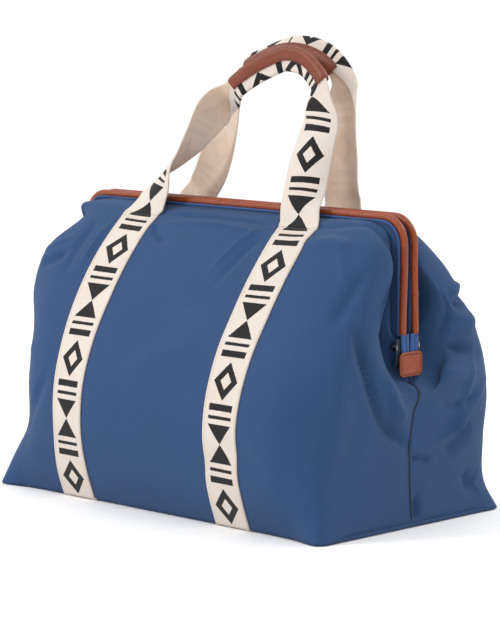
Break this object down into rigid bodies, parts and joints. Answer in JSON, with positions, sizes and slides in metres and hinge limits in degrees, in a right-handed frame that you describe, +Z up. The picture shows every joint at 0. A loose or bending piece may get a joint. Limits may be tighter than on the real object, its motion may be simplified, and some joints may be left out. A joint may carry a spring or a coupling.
{
  "type": "diaper bag",
  "caption": "Weekend-size canvas diaper bag with a wired, zipped doctor-bag mouth, patterned cream webbing and swinging handles with leather grips.",
  "frame": {"origin": "centre of the base on the ground", "axes": "+X along the bag's length, -Y towards its front, +Z up"},
  "size_m": [0.55, 0.351, 0.5613],
  "materials": {
    "blue_canvas": "plain woven cotton canvas",
    "lining_fabric": "plain woven polyester lining",
    "cream_webbing": "herringbone cotton webbing with a black woven pattern",
    "tan_leather": "smooth grained leather",
    "grip_leather": "smooth grained leather, stitched",
    "spring_steel": "drawn wire",
    "zinc_plated_steel": "zinc plated",
    "zip_tape_fabric": "woven polyester tape",
    "zip_coil": "moulded nylon teeth",
    "zip_metal": "tumbled metal",
    "board_plastic": "polyethylene board"
  },
  "bodies": {
    "bag": {"base_panel": "blue_canvas", "base_board": "board_plastic", "front_outer_panel": "blue_canvas", "rear_outer_panel": "blue_canvas", "lining": "lining_fabric", "front_pocket_row": "lining_fabric", "rear_pocket_row": "lining_fabric", "left_base_webbing": "cream_webbing", "right_base_webbing": "cream_webbing", "left_end_tab": "tan_leather", "right_end_tab": "tan_leather", "left_hinge_plate": "zinc_plated_steel", "right_hinge_plate": "zinc_plated_steel", "front_left_wall_webbing": "cream_webbing", "front_right_wall_webbing": "cream_webbing", "rear_left_wall_webbing": "cream_webbing", "rear_right_wall_webbing": "cream_webbing"},
    "front_frame": {"front_piping": "tan_leather", "front_casing": "blue_canvas", "front_frame_wire": "spring_steel", "front_zip_tape": "zip_tape_fabric", "front_zip_chain": "zip_coil", "front_upper_panel": "blue_canvas", "front_upper_lining": "lining_fabric", "front_left_top_webbing": "cream_webbing", "front_right_top_webbing": "cream_webbing"},
    "rear_frame": {"rear_piping": "tan_leather", "rear_casing": "blue_canvas", "rear_frame_wire": "spring_steel", "rear_zip_tape": "zip_tape_fabric", "rear_zip_chain": "zip_coil", "rear_upper_panel": "blue_canvas", "rear_upper_lining": "lining_fabric", "rear_left_top_webbing": "cream_webbing", "rear_right_top_webbing": "cream_webbing"},
    "front_handle": {"front_handle_webbing": "cream_webbing", "front_grip": "grip_leather"},
    "rear_handle": {"rear_handle_webbing": "cream_webbing", "rear_grip": "grip_leather"},
    "zip_slider_body": {"zip_slider": "zip_metal"},
    "zip_pull_body": {"zip_pull": "zip_metal"}
  },
  "joints": [
    {"name": "front_frame_hinge", "type": "hinge", "parent": "bag", "child": "front_frame", "pos_m": [0, -0.012, 0.212], "axis": [1, 0, 0], "range_deg": [0, 50]},
    {"name": "rear_frame_hinge", "type": "hinge", "parent": "bag", "child": "rear_frame", "pos_m": [0, 0.012, 0.212], "axis": [-1, 0, 0], "range_deg": [0, 50]},
    {"name": "front_handle_swing", "type": "hinge", "parent": "front_frame", "child": "front_handle", "pos_m": [0, -0.038, 0.35], "axis": [1, 0, 0], "range_deg": [0, 130]},
    {"name": "rear_handle_swing", "type": "hinge", "parent": "rear_frame", "child": "rear_handle", "pos_m": [0, 0.038, 0.35], "axis": [-1, 0, 0], "range_deg": [0, 104]},
    {"name": "zip_slider_travel", "type": "slide", "parent": "front_frame", "child": "zip_slider_body", "axis": [1, 0, 0], "range_m": [0, 0.43]},
    {"name": "zip_pull_swing", "type": "hinge", "parent": "zip_slider_body", "child": "zip_pull_body", "pos_m": [-0.222, 0, 0.3624], "axis": [0, -1, 0], "range_deg": [0, 150]}
  ]
}
